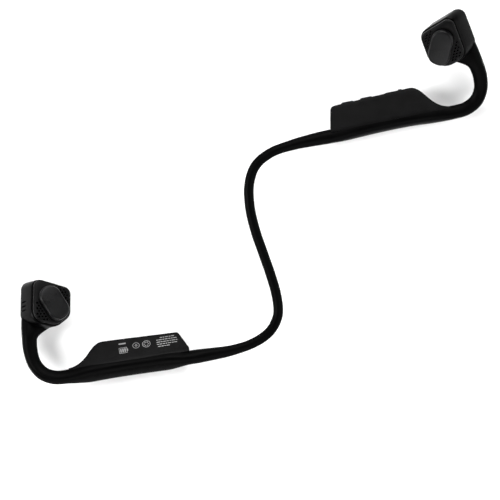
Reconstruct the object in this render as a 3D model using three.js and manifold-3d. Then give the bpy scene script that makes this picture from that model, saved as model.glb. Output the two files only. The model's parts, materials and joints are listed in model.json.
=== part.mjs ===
// Bone conduction headphones: a sprung neckband carries two ear-hook units, each with a transducer pod.
// The left unit holds the battery, the right one the electronics, volume buttons and charge port.
// The headset lies on a table with its band twisted into an S, so that both pods face up.
// Millimetres, +Z up, origin at the bottom centre of the bounding box.
import * as THREE from "three";
import { LoftGeometry } from "three/addons/geometries/LoftGeometry.js";
import { mergeVertices } from "three/addons/utils/BufferGeometryUtils.js";
import Module from "manifold-3d";

const wasm = await Module();
wasm.setup();
const V = (x, y, z = 0) => new THREE.Vector3(x, y, z);
const deg = THREE.MathUtils.degToRad;
const mix = THREE.MathUtils.lerp;

// ---- Driving dimensions ----
const GAP = 0.3; // between neighbouring pieces
const WALL = 1.2; // housing and pod wall

// A unit's own frame: X runs back along the spine to the neckband, Y to the fin's free edge and
// Z towards the head. Its origin is the centre of the neckband's exit.
const FIN = { front: -41, toe: -56.4, crease: 1.4, low: -6, high: 3.5, split: 1.2, bevel: 0.9 };
const edgeAt = (x) => 13.6 - 0.035 * x; // the fin's free edge, which rises a little towards the ear
const SPINE_SIZE = { width: 3.7, depth: 4.8, taper: 12 }; // half sizes, reached this far from the neckband
const HOOK = { width: 3.25, depth: 2.9, neck: -60 };
const WEB = { from: 18, to: 29, width: 5, shift: 4.4, slim: 0.5 }; // the hook's flare at the pod
const POD = { centre: V(-62.2, 29.8, 21), lean: 24, turn: 14, shell: 10, cover: 2.4, rise: 2.8, lip: 0.8 };
const SKEW = { x: 0.4, y: -0.16 }; // the pod's shell leans back towards the hook
const PAD = { x: -1.1, y: 1.5, angle: -66, radius: 5.4, length: 7.6 };
const HOLE = { radius: 0.5, pitch: 1.7 };
const TRANSDUCER = { x: -2, y: 0.8, radius: 5.8, back: -7.3, front: -3.4, wall: 0.9, magnet: 3.7 };
const COIL = { inner: 4, outer: 4.6, back: -5.5, front: -3 };
const SPRING = { radius: 6.1, back: -2.7, front: -2.2, slot: 0.9, slotAt: 3.95, slotHalf: 2.2 };
const STEM = { radius: 2.8, room: 3.1, foot: -1.9 }; // carries the pad through the cover to the spring plate
const KEY = { x: -3.4, y: 1.4, radius: 6.2, back: -10.4, front: -9, dish: 4.4, dishDepth: 0.3 };
const MIC_SLOT = { x: [-20, -8.6], z: [-7.6, -4.6], half: 0.35, y: [-1.5, 0.6, 2.7] };
const BUTTON = { z: -1.3, width: 2.6, rise: 1.3, foot: 0.7, travel: 0.4, skirt: 0.6 };
const VOLUME = { volume_up: [-14, -7.4], volume_down: [-23.2, -16.6] }; // the buttons' ends along X
const PORT = { x: -33.5, z: -1.3, length: 9, width: 3.8, sunk: 1, rise: 0.7, tab: 0.5, depth: 5.6 };

// Where each unit lies: the centre of its band exit, its turn about Z and its tilt about its own X in
// degrees. Each rests on its fin's outer edge, the left one on its pod too. The soft right hook lies a
// little more closed than the left one, which moves its pod. The housings differ in how far their back edge
// leans and how round its corner is.
const LEFT = {
  side: 1, exit: V(-30.5, -76.7, 13.63), yaw: 8.7, tilt: -38, give: V(0, 0), back: -4.5, corner: 1,
};
const RIGHT = {
  side: -1, exit: V(37, 29.4, 8.33), yaw: 11.4, tilt: -10, give: V(1.4, 0.7), back: -2.2, corner: 2.2,
};

// The neckband's centre line in plan between the exits; its height runs evenly from one to the other.
const BAND_PLAN = [
  [-21.4, -75.3], [-10.2, -73.2], [0.4, -69.4], [7.6, -64], [11.2, -56.6], [10.8, -48.4], [8.3, -38.8],
  [4.3, -27.2], [0.3, -15.6], [-2.2, -4.6], [-2.5, 6.6], [0.6, 15.4], [8, 21.5], [18.5, 25.3], [28, 27.6],
];
const BAND = { exit: 3.35, middle: 2.4, taper: 0.17 };
const BAND_JOINTS = [0, 0.285, 0.585, 0.79, 1]; // roll, bend, twist, bend and roll
const BEND_GAP = 1.1; // room for two neckband pieces to bend towards each other
const CORE = { wire: 0.75, wireAt: -1.1, cable: 0.6, cableAt: 1.15, clearance: 0.3 };

// ---- Materials ----
const material = (color, roughness, metalness = 0) =>
  new THREE.MeshStandardMaterial({ color, roughness, metalness });
const SILICONE = material(0x141414, 0.75);
const SHELL = material(0x1b1b1c, 0.6);
const COVER = material(0x1e1e1f, 0.55);
const SOFT = material(0x202021, 0.8);
const TITANIUM = material(0x9a9690, 0.35, 1);
const STEEL = material(0xb4b6b8, 0.3, 1);
const COPPER = material(0xa8602c, 0.4, 1);
const BOARD = material(0x164024, 0.5);
const CELL = material(0x9fa4a8, 0.45, 0.4);
const BLACK = material(0x0e0e0e, 0.5);

// ---- Solids ----
function solid(geometry) {
  const g = geometry.index ? geometry.toNonIndexed() : geometry.clone();
  g.deleteAttribute("normal");
  g.deleteAttribute("uv");
  const merged = mergeVertices(g, 1e-4);
  return new wasm.Manifold(
    new wasm.Mesh({
      numProp: 3,
      vertProperties: merged.attributes.position.array,
      triVerts: new Uint32Array(merged.index.array),
    }),
  );
}

function geometryOf(manifold) {
  const mesh = manifold.getMesh();
  const g = new THREE.BufferGeometry();
  g.setAttribute("position", new THREE.BufferAttribute(mesh.vertProperties, 3));
  g.setIndex(new THREE.BufferAttribute(mesh.triVerts, 1));
  return g;
}

// A box between two corners.
function block(low, high) {
  const size = high.clone().sub(low);
  const g = new THREE.BoxGeometry(size.x, size.y, size.z);
  g.translate((low.x + high.x) / 2, (low.y + high.y) / 2, (low.z + high.z) / 2);
  return solid(g);
}

// A cylinder about Z through x, y, from z low to high.
function disc(x, y, radius, low, high, sides = 24) {
  const g = new THREE.CylinderGeometry(radius, radius, high - low, sides);
  g.rotateX(Math.PI / 2);
  g.translate(x, y, (low + high) / 2);
  return solid(g);
}

// A flat outline from z low to high, its edges rounded by bevel.
function plate(shape, low, high, bevel = 0) {
  const g = new THREE.ExtrudeGeometry(shape, {
    depth: high - low - 2 * bevel,
    bevelEnabled: bevel > 0,
    bevelThickness: bevel,
    bevelSize: bevel,
    bevelOffset: -bevel,
    bevelSegments: 2,
    curveSegments: 6,
  });
  g.translate(0, 0, low + bevel);
  return solid(g);
}

// A polygon whose corners [x, y, radius] are rounded by arcs, grown outwards by grow.
function roundedPolygon(corners, grow = 0) {
  const n = corners.length;
  const area = corners.reduce((sum, [x, y], i) => {
    const [u, v] = corners[(i + 1) % n];
    return sum + x * v - u * y;
  }, 0);
  const turn = Math.sign(area);
  const edges = corners.map(([x, y], i) => {
    const [u, v] = corners[(i + 1) % n];
    const along = new THREE.Vector2(u - x, v - y).normalize();
    return { along, out: new THREE.Vector2(along.y, -along.x).multiplyScalar(turn) };
  });
  const shape = new THREE.Shape();
  corners.forEach(([x, y, radius], i) => {
    const before = edges[(i + n - 1) % n];
    const after = edges[i];
    const bisector = before.out.clone().add(after.out).normalize();
    const cosHalf = bisector.dot(after.out);
    const inwards = Math.max(radius, 0.01) / cosHalf;
    const centre = new THREE.Vector2(x, y).addScaledVector(bisector, -inwards);
    const r = Math.max(radius, 0.01) + grow;
    const from = Math.atan2(before.out.y, before.out.x);
    const to = Math.atan2(after.out.y, after.out.x);
    shape.absarc(centre.x, centre.y, r, from, to, turn < 0);
  });
  return shape;
}

// One section of a loft: a superellipse about a centre, in the plane of two unit vectors.
function section(centre, across, up, halfAcross, halfUp, power = 2.3, sides = 18) {
  const reach = (c) => Math.sign(c) * Math.abs(c) ** (2 / power);
  return Array.from({ length: sides }, (_, i) => {
    const a = (-i / sides) * 2 * Math.PI;
    return centre
      .clone()
      .addScaledVector(across, halfAcross * reach(Math.cos(a)))
      .addScaledVector(up, halfUp * reach(Math.sin(a)));
  });
}
const loft = (sections) => solid(new LoftGeometry(sections, { capStart: true, capEnd: true }));

// ---- Spine and hook: one soft skin from the neckband's exit over the ear to the pod ----
const SPINE = [
  V(0, 0, 0), V(-4, 0, 0), V(-12, 0.7, -0.8), V(-24, 1.2, -1.2), V(-38, 1.2, -1.2), V(-50, 0.4, -0.7),
  V(-59, -0.3, 0), V(-66, 0.2, 0.3), V(-71.3, 2.8, 1.4), V(-74.6, 7.5, 3.6), V(-75.7, 13.6, 6.6),
  V(-75.2, 19.6, 9.6), V(-74, 25.4, 12.4), V(-72.4, 31, 15), V(-70.4, 36, 17),
];

// Where a unit's pod sits, and the spine that leads to it.
function podPlace(place) {
  const turn = new THREE.Quaternion().setFromEuler(new THREE.Euler(deg(POD.lean), deg(POD.turn), 0, "XYZ"));
  return new THREE.Matrix4().compose(POD.centre.clone().add(place.give), turn, V(1, 1, 1));
}

function spineOf(place) {
  const points = SPINE.map((p) => {
    const share = p.x < HOOK.neck ? THREE.MathUtils.smoothstep(p.y, 8, 30) : 0;
    return p.clone().addScaledVector(place.give, share);
  });
  const podNormal = V(0, 0, 1).transformDirection(podPlace(place));
  return { curve: new THREE.CatmullRomCurve3(points), podNormal };
}

// Across and up directions of the skin at a point of the spine; up turns to the pod's normal near it.
function spineFrame(spine, centre, tangent) {
  const { smoothstep } = THREE.MathUtils;
  const facing = V(0, 0, 1).lerp(spine.podNormal, smoothstep(centre.y, 4, 26)).normalize();
  const across = tangent.clone().cross(facing).normalize();
  return { across, up: across.clone().cross(tangent).normalize() };
}

// The skin's section at a share t of the spine: its half width and half depth ease between stations.
function spineSection(spine, t) {
  const { smoothstep } = THREE.MathUtils;
  const centre = spine.curve.getPointAt(t);
  const tangent = spine.curve.getTangentAt(t);
  const intoHook = smoothstep(-centre.x, 48, 62);
  const intoPod = smoothstep(centre.y, 4, 26);
  const flare = smoothstep(centre.y, WEB.from, WEB.to);
  const { across, up } = spineFrame(spine, centre, tangent);
  const opening = smoothstep(-centre.x, 0, SPINE_SIZE.taper);
  const straightWidth = mix(BAND.exit, SPINE_SIZE.width, opening);
  const straightDepth = mix(BAND.exit - 0.3, SPINE_SIZE.depth, opening);
  const width = mix(straightWidth, HOOK.width, intoHook) + 0.5 * intoPod + WEB.width * flare;
  const depth = mix(straightDepth, HOOK.depth, intoHook) + 0.8 * intoPod - WEB.slim * flare;
  centre.addScaledVector(across, WEB.shift * flare);
  return section(centre, across, up, width, depth, mix(2.3, 2.6, opening));
}
const spineStations = (from, to, steps) =>
  Array.from({ length: steps + 1 }, (_, i) => mix(from, to, i / steps));

// A round section of a wire or cable that runs beside the skin's centre line.
function coreSection(spine, t, radius, at) {
  const share = THREE.MathUtils.clamp(t, 0, 1);
  const centre = spine.curve.getPointAt(share);
  const tangent = spine.curve.getTangentAt(share);
  centre.addScaledVector(tangent, (t - share) * 100);
  const { across, up } = spineFrame(spine, centre, tangent);
  return section(centre.addScaledVector(across, at), across, up, radius, radius, 2, 8);
}

// The share of the spine's length at which it passes a given x on its straight part.
function spineShareAt(spine, x) {
  let low = 0;
  let high = 0.6;
  for (let i = 0; i < 40; i++) {
    const middle = (low + high) / 2;
    if (spine.curve.getPointAt(middle).x > x) low = middle;
    else high = middle;
  }
  return low;
}

// ---- Housing: a fin that hangs from the spine ----
function finOutline({ back, corner }) {
  const { front, toe, crease } = FIN;
  const lean = (-0.2 - back) / (edgeAt(back) - 3.6);
  const shape = new THREE.Shape();
  shape.moveTo(-0.2, crease - 4);
  shape.lineTo(-0.2, 3.6);
  shape.lineTo(back + lean * corner, edgeAt(back) - corner);
  shape.quadraticCurveTo(back, edgeAt(back), back - corner, edgeAt(back));
  shape.lineTo(front, edgeAt(front));
  shape.bezierCurveTo(front - 7, edgeAt(front), toe + 7.5, 3, toe - 3, 2.4);
  shape.lineTo(toe - 3, crease - 4);
  shape.closePath();
  return shape;
}

// The housing's thickness seen along Y: full behind the ear, narrowing to the hook.
function thicknessOutline() {
  const { low, high, front, toe } = FIN;
  const shape = new THREE.Shape();
  shape.moveTo(1, low);
  shape.lineTo(front + 6, low);
  shape.quadraticCurveTo(front - 6, low, toe - 1, -HOOK.depth);
  shape.lineTo(toe - 4, -HOOK.depth);
  shape.lineTo(toe - 4, HOOK.depth);
  shape.quadraticCurveTo(front - 4, high, front + 6, high);
  shape.lineTo(1, high);
  shape.closePath();
  return shape;
}

function finSolid(place) {
  const { low, high, bevel, crease } = FIN;
  const side = plate(finOutline(place), low, high, bevel);
  const plan = plate(thicknessOutline(), -20, 5).rotate([90, 0, 0]);
  const above = block(V(-70, crease + GAP, -10), V(5, 30, 10));
  return side.intersect(plan).intersect(above);
}

function finCavity({ back, corner }) {
  const { low, high, front, crease, bevel } = FIN;
  const inner = roundedPolygon([
    [back - 0.6, crease + GAP + WALL, 1],
    [back - WALL - 0.9, edgeAt(back) - WALL, corner],
    [front - 1, edgeAt(front) - WALL, 2.5],
    [front - 7, crease + GAP + WALL, 2.5],
  ]);
  return plate(inner, low + WALL, high - WALL, bevel / 2);
}

// ---- Pod ----
// The face outline in the pod's own frame: X to the ear, Y away from the hook's bend, Z out of the face.
const FACE = [[-7, 12.1, 3.2], [9.8, 5.1, 3.6], [7.8, -7.4, 4.8], [0.6, -12, 5.5], [-10.4, -8.4, 5.5]];

function skewed(manifold) {
  const shear = new THREE.Matrix4().set(1, 0, SKEW.x, 0, 0, 1, SKEW.y, 0, 0, 0, 1, 0, 0, 0, 0, 1);
  return manifold.transform(shear.elements);
}

function podShell() {
  const { shell, lip } = POD;
  const outer = plate(roundedPolygon(FACE, lip), -shell, 0, 1.8);
  const pocket = plate(roundedPolygon(FACE, -WALL), -shell + WALL, 1, 0.5);
  const keyHole = disc(KEY.x, KEY.y, KEY.radius + GAP, -shell - 1, -shell + WALL + 1, 28);
  return skewed(outer.subtract(pocket)).subtract(keyHole);
}

// Places for the face's small holes: a honeycomb that stays clear of the pad and inside the rim.
function faceHoles() {
  const rim = roundedPolygon(FACE, -1.5).getPoints(6);
  const inside = (x, y) =>
    rim.reduce((odd, p, i) => {
      const q = rim[(i + 1) % rim.length];
      const crosses = p.y > y !== q.y > y && x < ((q.x - p.x) * (y - p.y)) / (q.y - p.y) + p.x;
      return crosses ? !odd : odd;
    }, false);
  const axis = V(Math.cos(deg(PAD.angle)), Math.sin(deg(PAD.angle)));
  const places = [];
  for (let row = -8; row <= 8; row++)
    for (let column = -8; column <= 8; column++) {
      const along = (column + (row % 2 ? 0.5 : 0)) * HOLE.pitch;
      const off = row * HOLE.pitch * 0.866;
      const x = PAD.x + axis.x * along - axis.y * off;
      const y = PAD.y + axis.y * along + axis.x * off;
      const clear = Math.abs(off) > PAD.radius + 0.9 && along > -3;
      if (clear && inside(x, y)) places.push([x, y]);
    }
  return places;
}

function podCover() {
  const { cover } = POD;
  const stem = disc(TRANSDUCER.x, TRANSDUCER.y, STEM.room, -1, cover + 1);
  let body = plate(roundedPolygon(FACE, 0.1), GAP, cover + GAP, 0.9).subtract(stem);
  for (const [x, y] of faceHoles()) body = body.subtract(disc(x, y, HOLE.radius, -1, cover + 2, 6));
  return body;
}

function contactPad() {
  const axis = V(Math.cos(deg(PAD.angle)), Math.sin(deg(PAD.angle)));
  const start = deg(PAD.angle + 90);
  const stadium = new THREE.Shape();
  stadium.absarc(PAD.x, PAD.y, PAD.radius, start, start + Math.PI, false);
  const end = V(PAD.x, PAD.y).addScaledVector(axis, PAD.length);
  stadium.absarc(end.x, end.y, PAD.radius, start + Math.PI, start + 2 * Math.PI, false);
  const foot = POD.cover + 2 * GAP;
  const top = plate(stadium, foot, foot + POD.rise, 0.9);
  const limit = plate(roundedPolygon(FACE, 0.3), foot - 1, foot + POD.rise, 0.9);
  return top.intersect(limit).add(disc(TRANSDUCER.x, TRANSDUCER.y, STEM.radius, STEM.foot, foot + 1));
}

// The transducer: a steel cup and magnet, a coil in their gap, and the spring plate that carries the coil.
function transducerDisc(radius, low, high, sides = 28) {
  return disc(TRANSDUCER.x, TRANSDUCER.y, radius, low, high, sides);
}

function yoke() {
  const { radius, back, front, wall } = TRANSDUCER;
  return transducerDisc(radius, back, front).subtract(transducerDisc(radius - wall, back + wall, front + 1));
}

function magnet() {
  return transducerDisc(TRANSDUCER.magnet, TRANSDUCER.back + TRANSDUCER.wall + GAP, TRANSDUCER.front - 0.4);
}

function voiceCoil() {
  const { inner, outer, back, front } = COIL;
  return transducerDisc(outer, back, front).subtract(transducerDisc(inner, back - 1, front + 1));
}

function springPlate() {
  const { x, y } = TRANSDUCER;
  const { radius, back, front, slot, slotAt, slotHalf } = SPRING;
  let body = transducerDisc(radius, back, front);
  for (let i = 0; i < 3; i++) {
    const low = V(slotAt - slot / 2, -slotHalf, back - 1);
    const high = V(slotAt + slot / 2, slotHalf, front + 1);
    body = body.subtract(block(low, high).rotate([0, 0, 120 * i + 60]).translate([x, y, 0]));
  }
  return body;
}

function keyCap() {
  const { x, y, radius, back, front, dish, dishDepth } = KEY;
  return disc(x, y, radius, back, front, 28).subtract(disc(x, y, dish, back - 1, back + dishDepth, 28));
}

// ---- Assembly ----
const headset = new THREE.Group();

function add(group, name, manifold, look) {
  const mesh = new THREE.Mesh(geometryOf(manifold), look.clone());
  mesh.name = name;
  group.add(mesh);
}

// The largest of the separate bodies a cut leaves.
function largest(manifold) {
  return manifold.decompose().sort((a, b) => b.volume() - a.volume())[0];
}

function unit(name, place) {
  const group = new THREE.Group();
  group.position.copy(place.exit);
  group.rotation.set(deg(place.tilt), 0, deg(place.yaw), "ZYX");
  group.scale.x = place.side;
  headset.add(group);
  const pod = new THREE.Group();
  pod.applyMatrix4(podPlace(place));
  group.add(pod);
  const podRoom = skewed(plate(roundedPolygon(FACE, POD.lip + GAP), -POD.shell - GAP, GAP, 1.8))
    .add(disc(KEY.x, KEY.y, KEY.radius + GAP, KEY.back - 3, 0))
    .transform(podPlace(place).elements);

  // The skin is cut at the neck, where the hook flexes on the housing's end of the spine.
  const spine = spineOf(place);
  const neck = spineShareAt(spine, HOOK.neck);
  const hookStart = neck + 0.004;
  const core = (radius, at, from, to, steps) =>
    loft(spineStations(from, to, steps).map((t) => coreSection(spine, t, radius, at)));
  const wireBore = core(CORE.wire + CORE.clearance, CORE.wireAt, -0.01, 0.95, 28);
  const cableBore = core(CORE.cable + CORE.clearance, CORE.cableAt, neck, 0.95, 15);
  const fin = finSolid(place);
  const finRoom = block(V(FIN.toe - 3 - GAP, FIN.crease, -12), V(2, 20, 12));
  const spineSkin = loft(spineStations(0, neck, 20).map((t) => spineSection(spine, t)));
  const hookSkin = loft(spineStations(hookStart, 1, 18).map((t) => spineSection(spine, t)));
  add(group, `${name}_spine_skin`, largest(spineSkin.subtract(finRoom).subtract(wireBore)), SILICONE);
  add(group, `${name}_spine_wire`, core(CORE.wire, CORE.wireAt, 0.001, neck, 14), TITANIUM);
  const openHook = hookSkin.subtract(podRoom).subtract(wireBore).subtract(cableBore);
  add(group, `${name}_hook_skin`, largest(openHook), SILICONE);
  const hookWire = core(CORE.wire, CORE.wireAt, hookStart, 0.94, 14);
  add(group, `${name}_hook_wire`, largest(hookWire.subtract(podRoom)), TITANIUM);
  const hookCable = core(CORE.cable, CORE.cableAt, hookStart, 0.94, 14);
  add(group, `${name}_hook_cable`, largest(hookCable.subtract(podRoom)), BLACK);

  const { split } = FIN;
  const hollowFin = fin.subtract(finCavity(place));
  const behind = block(V(-80, -20, -20), V(20, 40, split - GAP / 2));
  const infront = block(V(-80, -20, split + GAP / 2), V(20, 40, 20));
  const outer = hollowFin.intersect(behind);
  add(group, `${name}_inner_cover`, largest(hollowFin.intersect(infront)), COVER);

  const shell = podShell();
  add(pod, `${name}_pod_cover`, podCover(), COVER);
  add(pod, `${name}_contact_pad`, contactPad(), SOFT);
  add(pod, `${name}_transducer_yoke`, yoke(), STEEL);
  add(pod, `${name}_transducer_magnet`, magnet(), STEEL);
  add(pod, `${name}_voice_coil`, voiceCoil(), COPPER);
  add(pod, `${name}_spring_plate`, springPlate(), STEEL);
  return { group, pod, outer, shell };
}

// The left unit: battery behind the ear, multifunction button and microphone in the pod.
function leftUnit() {
  const { group, pod, outer, shell } = unit("left", LEFT);
  add(group, "left_outer_shell", largest(outer), SHELL);
  add(group, "battery", block(V(-37, 4.1, -4.3), V(-12.5, 11.8, -0.1)), CELL);
  add(group, "protection_board", block(V(-11.9, 4.4, -3.6), V(-8, 11, -2.6)), BOARD);
  let body = shell;
  for (const y of MIC_SLOT.y) {
    const low = V(MIC_SLOT.x[0], y - MIC_SLOT.half, MIC_SLOT.z[0]);
    body = body.subtract(block(low, V(MIC_SLOT.x[1], y + MIC_SLOT.half, MIC_SLOT.z[1])));
  }
  add(pod, "left_pod_shell", body, SHELL);
  add(pod, "microphone", block(V(-8.2, 5.4, -7.4), V(-7.2, 8, -5)), STEEL);
  add(pod, "multifunction_button", keyCap(), BLACK);
  add(pod, "multifunction_switch", disc(KEY.x, KEY.y, 2, -8.4, -7.7, 16), STEEL);
}

// A press button in the housing's edge: a stadium cap on a wider foot that stays behind the wall.
function buttonSolid(x0, x1, width, low, high, bevel = 0) {
  const r = width / 2;
  const shape = new THREE.Shape();
  shape.absarc(x0 + r, 0, r, Math.PI / 2, 1.5 * Math.PI, false);
  shape.absarc(x1 - r, 0, r, -Math.PI / 2, Math.PI / 2, false);
  return plate(shape, low, high, bevel).rotate([-90, 0, 0]).translate([0, 0, BUTTON.z]);
}

// The charge port in the same edge, with the rubber cover that lies in a recess over it. The cover is held
// at its rear end and has a raised finger tab at the front.
function chargePort() {
  const { x, z, length, width, sunk, rise, tab, depth } = PORT;
  const face = edgeAt(x);
  const slab = (long, wide, low, high, at = x) =>
    block(V(at - long / 2, low, z - wide / 2), V(at + long / 2, high, z + wide / 2));
  const recess = slab(length + 2 * GAP, width + 2 * GAP, face - sunk - GAP, face + 3);
  const grip = slab(2, width - 0.8, face, face + rise + tab, x - length / 2 + 1.4);
  const cover = slab(length, width, face - sunk, face + rise).add(grip);
  const mouth = face - sunk - 2 * GAP;
  const shroud = slab(8.2, 3.2, mouth - depth, mouth);
  const socket = shroud.subtract(slab(7.4, 2.4, mouth - depth + 0.6, mouth + 1));
  return { recess, cover, socket };
}

// The right unit: circuit board, volume buttons and charge port.
function rightUnit() {
  const { group, pod, outer, shell } = unit("right", RIGHT);
  let body = outer;
  for (const [name, [x0, x1]] of Object.entries(VOLUME)) {
    const { width, rise, foot, travel, skirt } = BUTTON;
    const face = edgeAt((x0 + x1) / 2);
    const wall = face - WALL;
    body = body.subtract(buttonSolid(x0 - GAP, x1 + GAP, width + 2 * GAP, wall - 1, face + 2));
    const cap = buttonSolid(x0, x1, width, wall - GAP - foot + 0.1, face + rise, 0.3);
    const base = buttonSolid(x0 - skirt, x1 + skirt, width + 2 * skirt, wall - GAP - foot, wall - GAP);
    add(group, `${name}_button`, cap.add(base), SOFT);
    const top = wall - GAP - foot - travel - 0.1;
    const middle = (x0 + x1) / 2;
    add(group, `${name}_switch`, block(V(middle - 1.8, top - 1.4, -2.9), V(middle + 1.8, top, 0.3)), STEEL);
  }
  const port = chargePort();
  add(group, "right_outer_shell", largest(body.subtract(port.recess)), SHELL);
  add(group, "charge_port", port.socket, STEEL);
  add(group, "port_cover", port.cover, SOFT);
  add(group, "main_board", block(V(-37, 4, -3.9), V(-9, 8.6, -3.1)), BOARD);
  add(group, "wireless_module", block(V(-28.4, 4.4, -2.8), V(-19.4, 8.2, -1.4)), STEEL);
  add(pod, "right_pod_shell", shell, SHELL);
  add(pod, "right_accent_plate", keyCap(), BLACK);
}

// ---- Neckband: a soft sleeve over a titanium wire and a cable, in four pieces ----
function bandCurve() {
  const plan = [[LEFT.exit.x, LEFT.exit.y], ...BAND_PLAN, [RIGHT.exit.x, RIGHT.exit.y]];
  const flat = new THREE.CatmullRomCurve3(plan.map(([x, y]) => V(x, y)));
  const points = Array.from({ length: 41 }, (_, i) => {
    const t = i / 40;
    return flat.getPointAt(t).setZ(mix(LEFT.exit.z, RIGHT.exit.z, THREE.MathUtils.smoothstep(t, 0, 1)));
  });
  return new THREE.CatmullRomCurve3(points);
}

function band() {
  const curve = bandCurve();
  const length = curve.getLength();
  const frameAt = (t) => {
    const tangent = curve.getTangentAt(t);
    const across = tangent.clone().cross(V(0, 0, 1)).normalize();
    return { centre: curve.getPointAt(t), across, up: across.clone().cross(tangent).normalize() };
  };
  const radiusAt = (t) => {
    const { smoothstep } = THREE.MathUtils;
    return mix(BAND.exit, BAND.middle, smoothstep(Math.min(t, 1 - t), 0, BAND.taper));
  };
  const tube = (from, to, at, radius, power, sides, steps) =>
    loft(spineStations(from, to, steps).map((t) => {
      const { centre, across, up } = frameAt(t);
      const r = typeof radius === "function" ? radius(t) : radius;
      return section(centre.addScaledVector(across, at), across, up, r, r, power, sides);
    }));
  const room = [GAP, BEND_GAP / 2, GAP / 2, BEND_GAP / 2, GAP];
  ["left_leg", "left_mid", "right_mid", "right_leg"].forEach((name, i) => {
    const from = BAND_JOINTS[i] + room[i] / length;
    const to = BAND_JOINTS[i + 1] - room[i + 1] / length;
    const open = [Math.max(from - 0.002, 0), Math.min(to + 0.002, 1)];
    const wireHole = tube(...open, CORE.wireAt, CORE.wire + CORE.clearance, 2, 8, 14);
    const cableHole = tube(...open, CORE.cableAt, CORE.cable + CORE.clearance, 2, 8, 14);
    const sleeve = tube(from, to, 0, radiusAt, 2, 16, 14).subtract(wireHole).subtract(cableHole);
    add(headset, `${name}_sleeve`, sleeve, SILICONE);
    add(headset, `${name}_wire`, tube(from, to, CORE.wireAt, CORE.wire, 2, 8, 14), TITANIUM);
    add(headset, `${name}_cable`, tube(from, to, CORE.cableAt, CORE.cable, 2, 8, 14), BLACK);
  });
}

leftUnit();
rightUnit();
band();

export default headset;
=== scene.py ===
"""Bone conduction headphones laid flat in an S: smooth skins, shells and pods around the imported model."""
import json
import math

import bmesh
import bpy
from mathutils import Matrix, Vector


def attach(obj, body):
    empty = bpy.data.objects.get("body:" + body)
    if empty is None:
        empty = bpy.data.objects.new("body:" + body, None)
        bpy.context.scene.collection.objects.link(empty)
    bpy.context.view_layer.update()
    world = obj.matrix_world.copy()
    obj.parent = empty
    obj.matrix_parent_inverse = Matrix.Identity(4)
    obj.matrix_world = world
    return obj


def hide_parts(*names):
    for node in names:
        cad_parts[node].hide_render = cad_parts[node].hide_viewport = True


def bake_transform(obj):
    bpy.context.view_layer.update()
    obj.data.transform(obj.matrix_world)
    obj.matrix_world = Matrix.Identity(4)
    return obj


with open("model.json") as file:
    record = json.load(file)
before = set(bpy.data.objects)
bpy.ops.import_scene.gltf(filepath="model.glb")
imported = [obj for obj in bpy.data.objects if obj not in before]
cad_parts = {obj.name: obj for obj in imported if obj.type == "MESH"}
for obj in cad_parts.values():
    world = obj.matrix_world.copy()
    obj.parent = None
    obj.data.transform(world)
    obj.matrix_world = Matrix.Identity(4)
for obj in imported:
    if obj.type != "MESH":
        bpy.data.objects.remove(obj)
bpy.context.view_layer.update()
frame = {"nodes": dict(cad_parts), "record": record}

MM = 0.001
JOINTS = {joint["name"]: joint for joint in frame["record"]["behaviour"]["joints"]}
MOUNTS = {mount["name"]: mount for mount in frame["record"]["mounts"]}

# ---- The design's own dimensions, in millimetres ----
# In a unit's frame X runs back along the spine to the neckband, Y to the fin's free edge, Z towards the
# head. A pod's frame has its face in XY and Z out of the face. Only BAND_PLAN is in the whole object's frame.
GAP = 0.3
WALL = 1.2
SEAM = 0.16  # half the line between two shells
HAIR = 0.02  # keeps two faces out of one plane
PAST = 2  # how far a cutter stands past the wall that it cuts
FIN = dict(front=-41, toe=-56.4, crease=1.4, low=-6, high=3.5, split=1.2, back=-0.2, back_foot=3.6,
           edge=13.6, fall=0.035, toe_reach=2.4, least=0.3)
FIN_SLOPE = dict(leave=7, land=(7.5, 3), end=(3, 2.4))  # its run into the hook, from its front and its toe
FIN_TAPER = dict(start=6, outer_end=1, inner_end=3)  # where its faces close in on the hook's depth
FIN_BEVEL = dict(width=1.15, segments=5, at_split=0.22, at_crease=0.5, elsewhere=1.0, near_split=0.5,
                 near_crease=0.6)
CREASE_ROOM = dict(toe=2.2, height=20, half_depth=12)  # what is cut off the spine, for the fin to stand on
SPINE_HALF = dict(width=3.7, depth=4.8, taper=12)
HOOK = dict(width=3.25, depth=2.9, neck=-60, widen=0.5, deepen=0.8)
HOOK_START = (48, 62)  # over this stretch of -X the spine's section becomes the hook's
HOOK_TURN = (4, 26)  # over this stretch of Y the section turns to face as its pod does
HOOK_SHIFT = (8, 30)  # over this stretch of Y the hook takes up its pod's shift
WEB = dict(start=18, end=29, width=5, shift=4.4, slim=0.5)  # the hook's wide end behind its pod
BAND = dict(exit=3.35, middle=2.4, taper=0.17, flatter=0.3, turn=13)
POWER = dict(band=2, exit=2.3, spine=2.6)  # how square each section is: 2 is round
RINGS = dict(spine=110, hook=130, band=90, band_route=40, fin_back=26, fin_front=80)
BAND_JOINTS = (0, 0.285, 0.585, 0.79, 1)  # as shares of the band's length
POD = dict(centre=(-62.2, 29.8, 21), lean=24, turn=14, shell=10, cover=2.4, rise=2.8, lip=0.8,
           edge=1.8, cover_edge=0.9, cover_grow=0.1)
POD_RIM = ((-0.6, 0), (-0.42, 0.05), (-0.05, 0.72))  # (z, inset) of the shell's chamfer
SKEW = (0.4, -0.16)  # how far the pod's shell leans for each millimetre of Z
FACE = (  # the corners of a pod's face: x, y, radius
    (-7, 12.1, 3.2), (9.8, 5.1, 3.6), (7.8, -7.4, 4.8), (0.6, -12, 5.5), (-10.4, -8.4, 5.5),
)
PAD = dict(x=-1.1, y=1.5, angle=-66, radius=5.4, length=7.6, limit=0.25, edge=1.1, crown=0.12)
KEY = dict(x=-3.4, y=1.4, radius=6.2, back=-10.4, front=-9, dish=4.4)
STEM = dict(x=-2, y=0.8, radius=3.1)  # the opening under the pad
HOLE = dict(radius=0.54, pitch=1.56, row=0.866, rim=0.95, off_pad=0.3, first=-2.5, depth=1.5, sides=12)
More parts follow.
